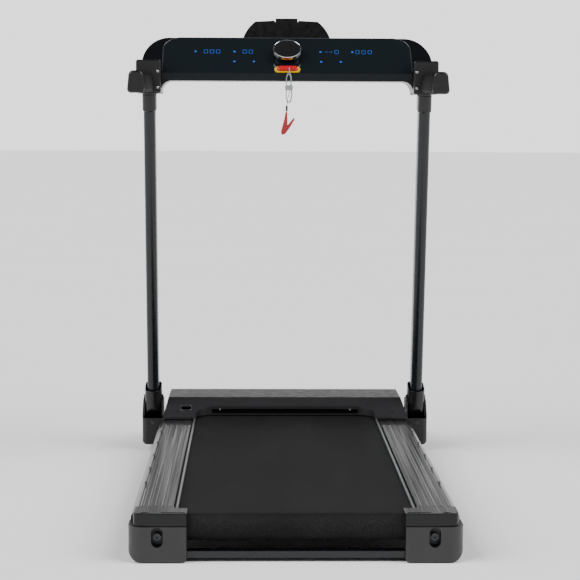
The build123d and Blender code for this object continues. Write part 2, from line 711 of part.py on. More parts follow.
def knob_face():
    disc = Cylinder(31.4, 8.7)
    dish = Pos(0, 0, 4.35 + 198.6) * Sphere(200)
    return on_panel(KNOB_S, 18.35) * (disc - dish)


def safety_key():
    key = extrude(stadium(51, 14.6), 8.1)
    key = fillet(key.faces().sort_by(Axis.Z)[-1].edges(), 2.5)
    start = Vector(*CORD_ROUTE[0])
    first_run = Vector(*CORD_ROUTE[1]) - start
    eye_place = Plane(origin=start - first_run.normalized() * 0.2, z_dir=first_run)
    eye = eye_place * extrude(Circle(CORD_D / 2 + 0.02), 8)
    return on_panel(KEY_S, 1.3) * key - eye


def cord_radii(points):
    """Bend radius at each inner point, from its shorter run and its turn."""
    radii = []
    for a, b, c in zip(points, points[1:], points[2:]):
        first, second = Vector(*b) - Vector(*a), Vector(*c) - Vector(*b)
        turn = radians(first.get_angle(second))
        run = min(first.length, second.length)
        radii.append(round(min(0.45 * run / tan(turn / 2), 60.0), 2))
    return radii


def safety_tether():
    radii = cord_radii(CORD_ROUTE)
    path = FilletPolyline(*CORD_ROUTE, radius=radii)
    section = Plane(origin=path @ 0, z_dir=path % 0) * Circle(CORD_D / 2)
    cord = sweep(section, path=path)
    print("tether length", round(path.length, 1), "radii", radii)
    print("tether volume over section x length", round(cord.volume / (section.area * path.length), 4))
    return cord


CLIP_Y = 339.0
CLIP_PIVOT = (-3.6, 826.0)


def tether_ferrule():
    end = Vector(*CORD_ROUTE[-1])
    axis = end - Vector(*CORD_ROUTE[-2])
    return Plane(origin=end, z_dir=axis) * extrude(Circle(2.7), 12)


def clip_strip(points, half):
    """A jaw's outline in the X-Z plane, as thick as twice half along Y."""
    return front_prism(Polygon(*points, align=None), (CLIP_Y - half, CLIP_Y + half))


def clip_fixed_jaw():
    """Channel-shaped jaw that the cord holds, with the pivot pin."""
    points = [(-4.4, 862.6), (-0.2, 863.2), (0.4, 845), (0.6, 834), (-1.6, 823), (-5.0, 810)]
    points += [(-10.0, 807), (-14.4, 808.6), (-15.4, 815), (-11.2, 831), (-6.6, 849)]
    jaw = clip_strip(points, 4.2)
    channel = [(-4.0, 851), (-9.2, 831), (-13.4, 815.4), (-12.4, 806), (2, 806)]
    channel += [(4, 834), (2.5, 851)]
    jaw -= clip_strip(channel, 3.3)
    return jaw + rod_y(1.0, CLIP_PIVOT[0], (CLIP_Y - 4.2, CLIP_Y + 4.2), CLIP_PIVOT[1])


def clip_moving_jaw():
    points = [(15.9, 848.4), (17.9, 846.8), (17.2, 843), (7.2, 826), (-3.2, 811.4), (-7.4, 808)]
    points += [(-12.0, 809.2), (-12.2, 811.6), (-8.4, 815), (-6.6, 828), (-3.4, 830.6), (1.4, 831.4)]
    points += [(13.2, 845.6)]
    jaw = clip_strip(points, 2.8)
    jaw -= clip_strip([(14.6, 844.6), (2.6, 829.6), (4.2, 826.4), (15.8, 843.4)], 2.0)
    return jaw - rod_y(1.1, CLIP_PIVOT[0], (CLIP_Y - 5, CLIP_Y + 5), CLIP_PIVOT[1])


def tablet_holder():
    """Flip-up back rest with curved sides and a finger tab, on its hinge barrel."""
    with BuildSketch() as plan:
        with BuildLine():
            Line((-112, 0), (112, 0))
            ThreePointArc((112, 0), (99.5, 32), (78, 55))
            Line((78, 55), (30, 57.5))
            Line((30, 57.5), (29, 54))
            Line((29, 54), (27.5, 54))
            Line((27.5, 54), (27.5, 63))
            Line((27.5, 63), (-27.5, 63))
            Line((-27.5, 63), (-27.5, 54))
            Line((-27.5, 54), (-29, 54))
            Line((-29, 54), (-30, 57.5))
            Line((-30, 57.5), (-78, 55))
            ThreePointArc((-78, 55), (-99.5, 32), (-112, 0))
        make_face()
    plate = HOLDER * Pos(0, 0, -1.5) * extrude(plan.sketch, 3)
    plate += rod(4, (-91.2, 91.2), HOLDER_Y, HOLDER_Z)
    for side in (-1, 1):
        plate -= rod(2.06, sorted((side * 83.5, side * 92)), HOLDER_Y, HOLDER_Z)
        ear_x = sorted((side * 91.4, side * 98.6))
        plate -= block(ear_x, (460, HOLDER_Y + 8), (HOLDER_Z - 8, HOLDER_Z + 8))
    return plate


# ---------------------------------------------------------------- output
save(both(side_beam()), "side_beams")
save(crossbars(), "crossbars")
save(deck_board(), "deck_board")
save(deck_cushions(), "deck_cushions")
save(running_belt(), "running_belt")
save(roller_axles(), "roller_axles")
save(both(tension_block()), "tension_blocks")
save_pair(foot_rail(), "foot_rail")
save(both(rail_strip()), "rail_strips")
save_pair(end_cap(), "end_cap")
save(both(cap_top()), "cap_tops")
save_pair(belt_bolt(), "belt_bolt")
save(rubber_feet(), "rubber_feet")
save(motor_hood(), "motor_hood")
save(hood_screws(), "hood_screws")
save(belly_pan(), "belly_pan")
save(Pos(0, REAR_ROLLER_Y, ROLLER_Z) * roller(False), "rear_roller")
save(Pos(0, FRONT_ROLLER_Y, ROLLER_Z) * roller(True), "front_roller")
save(motor_case(), "motor_case")
save(motor_rotor(), "motor_rotor")
save(motor_bracket(), "motor_bracket")
save(motor_controller(), "motor_controller")
save(drive_belt(), "drive_belt")
save(power_inlet(), "power_inlet")
save(power_switch(), "power_switch")
save_pair(transport_wheel(), "transport_wheel")
save(both(wheel_bracket()), "wheel_brackets")
save(both(hinge_bracket()), "hinge_brackets")
save(both(hinge_pin()), "hinge_pins")
save(both(hinge_cover()), "hinge_covers")
save_pair(lock_button(), "lock_button")
save_pair(upright_tube(), "upright_tube")
save(both(upright_sleeve()), "upright_sleeves")
save(both(upright_collar()), "upright_collars")
save_pair(console_pod(), "console_pod")
save_pair(hand_grip(), "hand_grip")
save(both(grip_cap()), "grip_caps")
save(console_shell(), "console_shell")
save(console_panel(), "console_panel")
save(display_board(), "display_board")
save(knob_encoder(), "knob_encoder")
save(key_dock(), "key_dock")
save(knob_shaft(), "knob_shaft")
save(knob_base(), "knob_base")
save(knob_ring(), "knob_ring")
save(knob_face(), "knob_face")
save(safety_key(), "safety_key")
save(safety_tether(), "safety_tether")
save(tether_ferrule(), "tether_ferrule")
save(clip_fixed_jaw(), "clip_fixed_jaw")
save(clip_moving_jaw(), "clip_moving_jaw")
save(tablet_holder(), "tablet_holder")
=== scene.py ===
"""Folding treadmill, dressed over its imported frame. Metres, +X right, +Y to the motor end, +Z up."""
import json
from math import cos, pi, radians, sin

import bmesh
import bpy
from mathutils import Matrix, Vector


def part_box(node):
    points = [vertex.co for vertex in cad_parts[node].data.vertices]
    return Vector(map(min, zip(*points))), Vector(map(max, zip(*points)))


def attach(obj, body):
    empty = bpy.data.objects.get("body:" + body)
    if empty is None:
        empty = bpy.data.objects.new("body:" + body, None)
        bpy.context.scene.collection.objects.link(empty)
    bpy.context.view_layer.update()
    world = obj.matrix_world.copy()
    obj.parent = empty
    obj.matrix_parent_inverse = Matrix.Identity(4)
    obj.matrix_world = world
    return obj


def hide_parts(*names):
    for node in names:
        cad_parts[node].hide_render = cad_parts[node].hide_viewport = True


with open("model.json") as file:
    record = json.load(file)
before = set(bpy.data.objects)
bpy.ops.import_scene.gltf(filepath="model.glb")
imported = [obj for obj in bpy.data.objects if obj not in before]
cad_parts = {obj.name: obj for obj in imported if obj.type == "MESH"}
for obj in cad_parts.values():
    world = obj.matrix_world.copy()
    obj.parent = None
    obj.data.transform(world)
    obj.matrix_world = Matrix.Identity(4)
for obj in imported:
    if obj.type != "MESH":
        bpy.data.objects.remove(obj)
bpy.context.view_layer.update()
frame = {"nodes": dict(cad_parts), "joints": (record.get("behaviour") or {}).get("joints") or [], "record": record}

bl_info = {
    "name": "Folding Treadmill",
    "version": (1, 0, 0),
    "blender": (4, 5, 0),
    "location": "View3D > Sidebar > Treadmill",
    "description": "Builds the visible pieces of a folding treadmill over its frame",
    "category": "Object",
}

MM = 0.001
SMOOTH_ANGLE = radians(32)  # faces that meet at less than this are shaded as one surface
X_AXIS = Vector((1, 0, 0))
JOINTS = {joint["name"]: joint for joint in frame["joints"]}
DIAL_CENTRE = Vector(JOINTS["knob_turn"]["pos_m"])
PANEL_NORMAL = Vector(JOINTS["knob_turn"]["axis"]).normalized()
PANEL_UP = PANEL_NORMAL.cross(X_AXIS).normalized()
CLIP_PIVOT = Vector(JOINTS["clip_squeeze"]["pos_m"])

# The tether's route: from the key's face through two hanging loops to its ferrule.
TETHER_ROUTE = [
    (0.0046, 0.3532, 0.9708), (0.0046, 0.3410, 0.9680), (0.0108, 0.3414, 0.9250), (0.0104, 0.3422, 0.8850),
    (-0.0024, 0.3420, 0.8846), (-0.0028, 0.3414, 0.9210), (-0.0022, 0.3420, 0.9570), (0.0090, 0.3356, 0.9574),
    (0.0096, 0.3352, 0.9210), (0.0092, 0.3354, 0.8880), (-0.0032, 0.3314, 0.8876), (-0.0034, 0.3312, 0.9200),
    (-0.0030, 0.3318, 0.9530), (0.0100, 0.3268, 0.9534), (0.0068, 0.3285, 0.9180), (-0.0009, 0.3368, 0.8895),
    (-0.0014, 0.3382, 0.8760),
]


# ---------------------------------------------------------------- settings
class TreadmillSizes(bpy.types.PropertyGroup):
    """Sizes that a user would change."""
    mould_edge: bpy.props.FloatProperty(
        name="Moulded edge", description="Rounding of the large moulded edges",
        default=2.4 * MM, unit="LENGTH")
    fine_edge: bpy.props.FloatProperty(
        name="Fine edge", description="Rounding of small parts' edges", default=0.8 * MM, unit="LENGTH")
    digit_height: bpy.props.FloatProperty(
        name="Digit height", description="Height of a lit figure on the panel",
        default=14.0 * MM, unit="LENGTH")
    tether_thickness: bpy.props.FloatProperty(
        name="Tether thickness", description="Diameter of the safety tether",
        default=1.8 * MM, unit="LENGTH")
    tether_length: bpy.props.FloatProperty(
        name="Tether length", description="Length of the safety tether", default=0.4132, unit="LENGTH")
    knurl_count: bpy.props.IntProperty(
        name="Dial notches", description="Notches round the dial's rim", default=72)


class TreadmillColours(bpy.types.PropertyGroup):
    """Colours that a user would change."""
    frame_paint: bpy.props.StringProperty(
        name="Frame paint", description="Powder coat on the steel, as a hex colour", default="#0a0d10")
    moulding: bpy.props.StringProperty(
        name="Mouldings", description="Grained plastic, as a hex colour", default="#171618")
    display_glow: bpy.props.StringProperty(
        name="Display", description="Lit figures, as a hex colour", default="#1f62c8")
    key: bpy.props.StringProperty(
        name="Safety key", description="Key, as a hex colour", default="#b8000f")


def sizes():
    return bpy.context.scene.treadmill_sizes


def colours():
    return bpy.context.scene.treadmill_colours


# ---------------------------------------------------------------- material helpers
def linear(code):
    """An sRGB hex colour as linear RGBA."""
    channels = [int(code[i:i + 2], 16) / 255 for i in (1, 3, 5)]
    bent = [c / 12.92 if c <= 0.04045 else ((c + 0.055) / 1.055) ** 2.4 for c in channels]
    return (*bent, 1.0)


def add(tree, kind, inputs=None, **settings):
    """Adds a node, with its settings, its plain values and its links."""
    node = tree.nodes.new(kind)
    for key, value in settings.items():
        setattr(node, key, value)
    for key, value in (inputs or {}).items():
        if isinstance(value, bpy.types.NodeSocket):
            tree.links.new(value, node.inputs[key])
        else:
            node.inputs[key].default_value = value
    return node


class Finish:
    """One material in the making: a principled shader and the patterns that feed it."""

    def __init__(self, name, colour, roughness, **inputs):
        self.material = bpy.data.materials.new(name)
        self.material.use_nodes = True
        self.tree = self.material.node_tree
        self.tree.nodes.clear()
        self.colour = colour
        values = {"Base Color": linear(colour), "Roughness": roughness}
        values.update({key.replace("_", " "): value for key, value in inputs.items()})
        self.shader = add(self.tree, "ShaderNodeBsdfPrincipled", values)
        add(self.tree, "ShaderNodeOutputMaterial", {"Surface": self.shader.outputs["BSDF"]})
        self.place = add(self.tree, "ShaderNodeTexCoord").outputs["Object"]

    def stretched(self, factors):
        """Object coordinates, scaled along each axis."""
        return add(self.tree, "ShaderNodeMapping", {"Vector": self.place, "Scale": factors}).outputs["Vector"]

    def noise(self, size, detail=3.0, place=None):
        """Noise whose lumps are about size across, in metres."""
        inputs = {"Vector": place or self.place, "Scale": 1 / size, "Detail": detail}
        return add(self.tree, "ShaderNodeTexNoise", inputs).outputs["Fac"]

    def bands(self, pitch, direction, place=None):
        """Ridges at that pitch, in metres. The node's own bands repeat every 2 pi / 20 at scale 1."""
        inputs = {"Vector": place or self.place, "Scale": 2 * pi / (20 * pitch)}
        wave = add(self.tree, "ShaderNodeTexWave", inputs, bands_direction=direction)
        return wave.outputs["Fac"]

    def maths(self, kind, a, b):
        """Two values put together by that operation."""
        return add(self.tree, "ShaderNodeMath", {0: a, 1: b}, operation=kind).outputs["Value"]

    def ranged(self, factor, low, high, start=0.0, end=1.0):
        """The stretch of the factor from start to end, spread from low to high."""
        inputs = {"Value": factor, "From Min": start, "From Max": end, "To Min": low, "To Max": high}
        return add(self.tree, "ShaderNodeMapRange", inputs).outputs["Result"]

    def tint(self, factor, other):
        """The colour drifts to another one where the factor is high."""
        inputs = {"Factor": factor, 6: linear(self.colour), 7: linear(other)}
        mix = add(self.tree, "ShaderNodeMix", inputs, data_type="RGBA")
        self.tree.links.new(mix.outputs[2], self.shader.inputs["Base Color"])

    def rub(self, factor, low, high, start=0.3, end=0.7):
        """Roughness varies between low and high with the factor."""
        result = self.ranged(factor, low, high, start, end)
        self.tree.links.new(result, self.shader.inputs["Roughness"])

    def relief(self, height, depth, strength=0.5):
        """Bump from a height pattern, depth in metres."""
        inputs = {"Height": height, "Distance": depth, "Strength": strength}
        bump = add(self.tree, "ShaderNodeBump", inputs)
        self.tree.links.new(bump.outputs["Normal"], self.shader.inputs["Normal"])


# ---------------------------------------------------------------- materials
def powder_coated_steel():
    """Steel tube, powder coated: a satin skin with a faint orange peel that softens its highlights."""
    finish = Finish("powder_coated_steel", colours().frame_paint, 0.26, IOR=1.5, Specular_IOR_Level=0.45)
    peel = finish.noise(3.0 * MM, 2.0)
    finish.tint(finish.noise(90 * MM, 4.0), "#0f1216")
    finish.rub(finish.noise(25 * MM, 5.0), 0.22, 0.32)
    finish.relief(peel, 0.03 * MM, 0.22)
    return finish.material


def grained_abs():
    """ABS, moulded in a grained tool: dull, with pimples drawn at 1.6 mm, coarser than the real 0.3 mm."""
    finish = Finish("grained_abs", colours().moulding, 0.42, IOR=1.53)
    grain = finish.noise(1.6 * MM, 2.0)
    finish.tint(finish.noise(60 * MM, 4.0), "#1f1e21")
    finish.rub(finish.noise(18 * MM, 5.0), 0.36, 0.48)
    finish.relief(grain, 0.04 * MM, 0.2)
    return finish.material


def satin_abs():
    """ABS, moulded in a lightly blasted tool: an even satin black."""
    finish = Finish("satin_abs", "#0b0b0d", 0.28, IOR=1.53, Specular_IOR_Level=0.4)
    finish.tint(finish.noise(40 * MM, 4.0), "#0e0e10")
    finish.rub(finish.noise(12 * MM, 5.0), 0.25, 0.36)
    finish.relief(finish.noise(2.2 * MM, 2.0), 0.04 * MM, 0.35)
    return finish.material


def console_back_abs():
    """ABS housing behind the panel: a grey-black satin with a fine grain."""
    finish = Finish("console_back_abs", "#07080b", 0.24, IOR=1.53, Specular_IOR_Level=0.2)
    finish.tint(finish.noise(50 * MM, 4.0), "#0a0c0f")
    finish.relief(finish.noise(1.8 * MM, 2.0), 0.05 * MM, 0.4)
    return finish.material


def extruded_rail_pvc():
    """Rigid PVC, extruded: satin, with die lines along the rail drawn at 5 mm, coarser than the real 1 mm."""
    finish = Finish("extruded_rail_pvc", "#0c0c0e", 0.3, IOR=1.53, Specular_IOR_Level=0.36)
    lines = finish.noise(5 * MM, 2.0, finish.stretched((1, 0.008, 1)))
    fine_lines = finish.noise(1.5 * MM, 2.0, finish.stretched((1, 0.01, 1)))
    finish.tint(finish.ranged(lines, 0.0, 1.0, 0.4, 0.62), "#1c1c1e")
    finish.rub(lines, 0.26, 0.4, 0.35, 0.65)
    finish.relief(fine_lines, 0.04 * MM, 0.4)
    return finish.material


def gloss_abs():
    """ABS, moulded in a polished tool: piano black with faint flow ripples."""
    finish = Finish("gloss_abs", "#050608", 0.1, IOR=1.53, Specular_IOR_Level=0.3)
    finish.rub(finish.noise(35 * MM, 5.0), 0.06, 0.13)
    finish.relief(finish.noise(40 * MM, 1.0), 0.04 * MM, 0.1)
    return finish.material


def painted_highlight_bead():
    """PVC bead, polished, coloured mid grey instead of black: a painted highlight, a thin line of light drawn into
    its colour.
    """
    # painted highlight: the mid-grey base colour stands in for light caught along an edge
    finish = Finish("painted_highlight_bead", "#3a3c40", 0.14, IOR=1.53, Coat_Weight=0.5, Coat_Roughness=0.05)
    finish.rub(finish.noise(10 * MM, 3.0), 0.1, 0.2)
    return finish.material


def smoked_acrylic():
    """Acrylic sheet, smoked and hard coated: a deep blue-black gloss, with a trace of wiping marks."""
    finish = Finish("smoked_acrylic", "#0f1418", 0.1, IOR=1.49, Specular_IOR_Level=0.2,
                    Coat_Weight=0.1, Coat_Roughness=0.03)
    wiped = finish.noise(22 * MM, 6.0, finish.stretched((0.3, 1, 1)))
    finish.tint(finish.noise(160 * MM, 2.0), "#12181c")
    finish.rub(wiped, 0.07, 0.16)
    return finish.material


def woven_pvc_belt():
    """PVC on a polyester weave, embossed: dull black diamonds, drawn at 3 mm, with a paler walked track."""
    finish = Finish("woven_pvc_belt", "#0b0b0c", 0.72, IOR=1.5, Specular_IOR_Level=0.12)
    pitch = 3 * MM
    mapping = add(finish.tree, "ShaderNodeMapping", {"Vector": finish.place, "Rotation": (0, 0, radians(45))})
    diagonal = mapping.outputs["Vector"]
    across, along = (finish.bands(pitch, way, diagonal) for way in ("X", "Y"))
    diamonds = finish.maths("MULTIPLY", across, along)
    speckle = finish.noise(2.4 * MM, 3.0)
    height = finish.maths("ADD", diamonds, speckle)
    track = finish.noise(120 * MM, 4.0, finish.stretched((1, 0.25, 1)))
    flecks = finish.ranged(speckle, 0.0, 1.0, 0.35, 0.7)
    wear_and_glints = finish.ranged(track, 0.5, 1.0, 0.4, 0.65)
    finish.tint(finish.maths("MULTIPLY", flecks, wear_and_glints), "#232324")
    finish.rub(speckle, 0.65, 0.8)
    finish.relief(height, 0.35 * MM, 0.7)
    return finish.material


def anodised_aluminium():
    """Aluminium strip, drawn and anodised: soft silver with lines along its length."""
    finish = Finish("anodised_aluminium", "#9a9c9f", 0.34, Metallic=1.0)
    lines = finish.noise(1.2 * MM, 2.0, finish.stretched((1, 0.01, 1)))
    finish.rub(lines, 0.28, 0.42)
    finish.relief(lines, 0.02 * MM, 0.3)
    return finish.material


def zinc_plated_steel():
    """Steel, zinc plated: bright grey with a mottled bloom."""
    finish = Finish("zinc_plated_steel", "#b4b7bb", 0.28, Metallic=1.0)
    bloom = finish.noise(9 * MM, 5.0)
    finish.tint(bloom, "#9fa4a6")
    finish.rub(bloom, 0.22, 0.4)
    return finish.material


def blackened_steel():
    """Steel, chemically blackened and oiled: dark, with random bright patches that are painted glints."""
    finish = Finish("blackened_steel", "#3a3b3e", 0.26, Metallic=1.0)
    wear_and_glints = finish.noise(3 * MM, 4.0)
    # painted glints: bright patches tinted into the steel's colour at random
    finish.tint(finish.ranged(wear_and_glints, 0.0, 1.0, 0.6, 0.75), "#77797c")
    finish.rub(wear_and_glints, 0.2, 0.36)
    return finish.material


def turned_steel():
    """Steel, turned on a lathe: fine rings round its axis."""
    finish = Finish("turned_steel", "#a3a6aa", 0.3, Metallic=1.0)
    rings = finish.noise(1.5 * MM, 1.0, finish.stretched((1, 0.02, 0.02)))
    finish.rub(rings, 0.24, 0.38)
    finish.relief(rings, 0.02 * MM, 0.3)
    return finish.material


def polished_aluminium():
    """Aluminium rim, diamond cut: a bright edge with hairline turning marks."""
    finish = Finish("polished_aluminium", "#c6c8cb", 0.16, Metallic=1.0)
    finish.rub(finish.noise(4 * MM, 4.0), 0.12, 0.22)
    return finish.material


def spun_anodised_black():
    """Aluminium face, spun and anodised black: low sheen with concentric marks."""
    finish = Finish("spun_anodised_black", "#0e0f11", 0.34, Metallic=0.25)
    spread = {0: finish.place, 1: DIAL_CENTRE}
    away = add(finish.tree, "ShaderNodeVectorMath", spread, operation="DISTANCE").outputs["Value"]
    noise = add(finish.tree, "ShaderNodeTexNoise", {"W": away, "Scale": 900.0}, noise_dimensions="1D")
    rings = noise.outputs["Fac"]
    finish.rub(rings, 0.28, 0.42)
    finish.relief(rings, 0.02 * MM, 0.35)
    return finish.material


def foam_rubber():
    """Nitrile foam, moulded: a soft dull black with open pores drawn at 2 mm."""
    finish = Finish("foam_rubber", "#060608", 0.68, IOR=1.45, Specular_IOR_Level=0.2)
    pores = finish.noise(2.0 * MM, 4.0)
    finish.tint(finish.noise(30 * MM, 4.0), "#0a090c")
    finish.rub(pores, 0.6, 0.76)
    finish.relief(pores, 0.16 * MM, 0.5)
    return finish.material


def vulcanised_rubber():
    """Rubber, vulcanised in a mould: matt, with dusty patches."""
    finish = Finish("vulcanised_rubber", "#161616", 0.78, IOR=1.52)
    dust = finish.noise(14 * MM, 5.0)
    finish.tint(finish.ranged(dust, 0.0, 0.7, 0.5, 0.8), "#2b2a28")
    finish.relief(finish.noise(1.6 * MM, 3.0), 0.08 * MM, 0.4)
    return finish.material


def moulded_red_abs():
    """ABS, moulded bright red: glossy, a touch of flow marbling."""
    finish = Finish("moulded_red_abs", colours().key, 0.22, IOR=1.53, Coat_Weight=0.2, Coat_Roughness=0.1)
    finish.tint(finish.noise(9 * MM, 3.0), "#a00010")
    finish.rub(finish.noise(4 * MM, 4.0), 0.18, 0.3)
    return finish.material


def moulded_yellow_abs():
    """ABS, moulded yellow: semi-gloss."""
    finish = Finish("moulded_yellow_abs", "#dcb400", 0.3, IOR=1.53)
    finish.tint(finish.noise(10 * MM, 3.0), "#cda600")
    finish.rub(finish.noise(5 * MM, 4.0), 0.25, 0.38)
    return finish.material


def braided_polyester():
    """Polyester yarn, braided: off-white crossing strands drawn at a 1.2 mm pitch, coarser than the yarn."""
    finish = Finish("braided_polyester", "#8f9493", 0.78, IOR=1.5, Sheen_Weight=0.3, Sheen_Roughness=0.4)
    first = finish.bands(1.2 * MM, "DIAGONAL")
    second = finish.bands(1.2 * MM, "DIAGONAL", finish.stretched((-1, 1, 1)))
    weave = finish.maths("MAXIMUM", first, second)
    # painted shade: darker where the weave sinks between the strands
    finish.tint(finish.ranged(weave, 0.6, 0.0, 0.0, 1.0), "#6b7170")
    finish.relief(weave, 0.15 * MM, 0.5)
    return finish.material


def dipped_vinyl():
    """Steel clip, dipped in red vinyl: a soft skin, thinner and duller in random patches."""
    finish = Finish("dipped_vinyl", "#8f1015", 0.38, IOR=1.52, Coat_Weight=0.15, Coat_Roughness=0.3)
    patch = finish.noise(5 * MM, 4.0)
    finish.tint(patch, "#a3191e")
    finish.rub(patch, 0.3, 0.48)
    finish.relief(finish.noise(1.5 * MM, 2.0), 0.08 * MM, 0.4)
    return finish.material


def lit_display():
    """Light-emitting figures behind the smoked sheet: a dim even blue."""
    glow = colours().display_glow
    finish = Finish("lit_display", glow, 0.4, Emission_Color=linear(glow), Emission_Strength=0.1)
    finish.tint(finish.noise(6 * MM, 2.0), "#174a92")
    return finish.material


def faced_fibreboard():
    """Fibreboard, faced with black phenolic film and waxed: dark, with the fibre's brown in flecks."""
    finish = Finish("faced_fibreboard", "#15120f", 0.5, IOR=1.5)
    finish.tint(finish.noise(2.0 * MM, 5.0), "#241c15")
    finish.relief(finish.noise(1.2 * MM, 3.0), 0.04 * MM, 0.3)
    return finish.material


def cast_aluminium():
    """Aluminium, die cast: pale grey with a cast skin."""
    finish = Finish("cast_aluminium", "#a5a7aa", 0.45, Metallic=1.0)
    skin = finish.noise(3 * MM, 4.0)
    finish.rub(skin, 0.38, 0.55)
    finish.relief(skin, 0.06 * MM, 0.35)
    return finish.material


def solder_masked_board():
    """Glass-epoxy board under green solder mask: its copper tracks show as paler lines."""
    finish = Finish("solder_masked_board", "#0d3b22", 0.32, IOR=1.5)
    tracks = add(finish.tree, "ShaderNodeTexBrick", {
        "Vector": finish.place, "Scale": 60.0, "Color1": (0, 0, 0, 1), "Color2": (0, 0, 0, 1),
        "Mortar": (1, 1, 1, 1), "Mortar Size": 0.03})
    finish.tint(tracks.outputs["Fac"], "#2d6b46")
    return finish.material


def turned_brass():
    """Brass pins, turned: warm bright metal with turning lines."""
    finish = Finish("turned_brass", "#c6a35a", 0.25, Metallic=1.0)
    finish.rub(finish.noise(2 * MM, 3.0), 0.2, 0.34)
    return finish.material


def studio_paint():
    """Emulsion paint on a studio floor: flat white."""
    finish = Finish("studio_paint", "#f4f4f4", 0.9, IOR=1.4)
    finish.tint(finish.noise(0.9, 3.0), "#f0f0f0")
    return finish.material


FINISHES = {}


def finish_of(maker):
    """Each finish is made once and shared."""
    if maker not in FINISHES:
        FINISHES[maker] = maker()
    return FINISHES[maker]


def paint(piece, maker):
    piece.data.materials.clear()
    piece.data.materials.append(finish_of(maker))


def paint_nodes(maker, *names):
    """Gives CAD nodes that are kept their finish."""
    for name in names:
        paint(frame["nodes"][name], maker)


# ---------------------------------------------------------------- piece helpers
def body_of_node(node):
    for body, members in frame["record"]["behaviour"]["bodies"].items():
        if node in members:
            return body
    raise RuntimeError(f"no body holds {node}")


def finish_mesh(shape, name):
    """An object from a bmesh, its faces turned out first."""
    bmesh.ops.recalc_face_normals(shape, faces=shape.faces)
    return as_object(shape, name)


def as_object(shape, name):
    """An object from a bmesh, smooth but for its sharp edges."""
    for face in shape.faces:
        face.smooth = True
    for edge in shape.edges:
        edge.smooth = len(edge.link_faces) == 2 and edge.calc_face_angle(0.0) < SMOOTH_ANGLE
    mesh = bpy.data.meshes.new(name)
    shape.to_mesh(mesh)
    shape.free()
    piece = bpy.data.objects.new(name, mesh)
    bpy.context.scene.collection.objects.link(piece)
    return piece


def install(piece, maker, body):
    """Paints a piece, and has it ride its body."""
    paint(piece, maker)
    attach(piece, body)
    return piece


def softened(node, name, maker, width, segments=3, angle=24.0):
    """A CAD node's copy with its edges rounded, standing for the node."""
    shape = bmesh.new()
    shape.from_mesh(frame["nodes"][node].data)
    bmesh.ops.remove_doubles(shape, verts=shape.verts, dist=2e-6)
    bmesh.ops.dissolve_limit(shape, angle_limit=radians(0.5), verts=shape.verts, edges=shape.edges)
    limit = radians(angle)
    sharp = [e for e in shape.edges if len(e.link_faces) == 2 and e.calc_face_angle(0.0) > limit]
    bmesh.ops.bevel(shape, geom=sharp, offset=width, offset_type="OFFSET", segments=segments, profile=0.5,
                    affect="EDGES", material=-1, clamp_overlap=True)
    piece = as_object(shape, name)
    evened = piece.modifiers.new("even_shading", "WEIGHTED_NORMAL")
    evened.mode = "FACE_AREA"
    evened.weight = 90
    evened.keep_sharp = True
    install(piece, maker, body_of_node(node))
    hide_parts(node)
    return piece


def second_finish(piece, maker, chosen):
    """Faces that the test chooses take another finish."""
    piece.data.materials.append(finish_of(maker))
    for face in piece.data.polygons:
        if chosen(face):
            face.material_index = 1


def turned(profile, axis_place, axis_dir, steps, name, maker, body):
    """A lathe shape: (radius, height) points in mm, spun round an axis."""
    shape = bmesh.new()
    basis = Vector(axis_dir).normalized().to_track_quat("Z", "Y").to_matrix().to_4x4()
    place = Matrix.Translation(axis_place) @ basis
    points = [shape.verts.new((radius * MM, 0, height * MM)) for radius, height in profile]
    edges = [shape.edges.new(pair) for pair in zip(points, points[1:])]
    bmesh.ops.spin(shape, geom=points + edges, cent=(0, 0, 0), axis=(0, 0, 1), angle=2 * pi, steps=steps,
                   use_merge=True)
    bmesh.ops.remove_doubles(shape, verts=shape.verts, dist=1e-6)
    bmesh.ops.transform(shape, matrix=place, verts=shape.verts)
    return install(finish_mesh(shape, name), maker, body)


def swept(points, radius, name, maker, body, sides=10):
    """A round bead along a path of points, closed at both ends."""
    shape = bmesh.new()
    rings = []
    for index, point in enumerate(points):
        ahead = points[min(index + 1, len(points) - 1)] - points[max(index - 1, 0)]
        basis = ahead.to_track_quat("Z", "Y").to_matrix().to_4x4()
        made = bmesh.ops.create_circle(shape, segments=sides, radius=radius,
                                       matrix=Matrix.Translation(point) @ basis)
        rings.append(made["verts"])
    for first, second in zip(rings, rings[1:]):
        for index in range(sides):
            after = (index + 1) % sides
            shape.faces.new((first[index], first[after], second[after], second[index]))
    for ring in (rings[0], rings[-1]):
        shape.faces.new(ring)
    return install(finish_mesh(shape, name), maker, body)


def add_bar(shape, size, place, bevel=0.0):
    """A small block of that size at that place, its edges rounded."""
    made = bmesh.ops.create_cube(shape, size=1.0, matrix=place @ Matrix.Diagonal((*size, 1)))
    if bevel:
        edges = list({edge for vert in made["verts"] for edge in vert.link_edges})
        bmesh.ops.bevel(shape, geom=edges, offset=bevel, offset_type="OFFSET", segments=2, profile=0.5,
                        affect="EDGES", material=-1, clamp_overlap=True)


def panel_place(x, up, out=0.0):
    """A place on the sloping panel: across, up the slope and out, from the dial's centre."""
    origin = DIAL_CENTRE + X_AXIS * x + PANEL_UP * up + PANEL_NORMAL * out
    basis = Matrix((X_AXIS, PANEL_UP, PANEL_NORMAL)).transposed().to_4x4()
    return Matrix.Translation(origin) @ basis


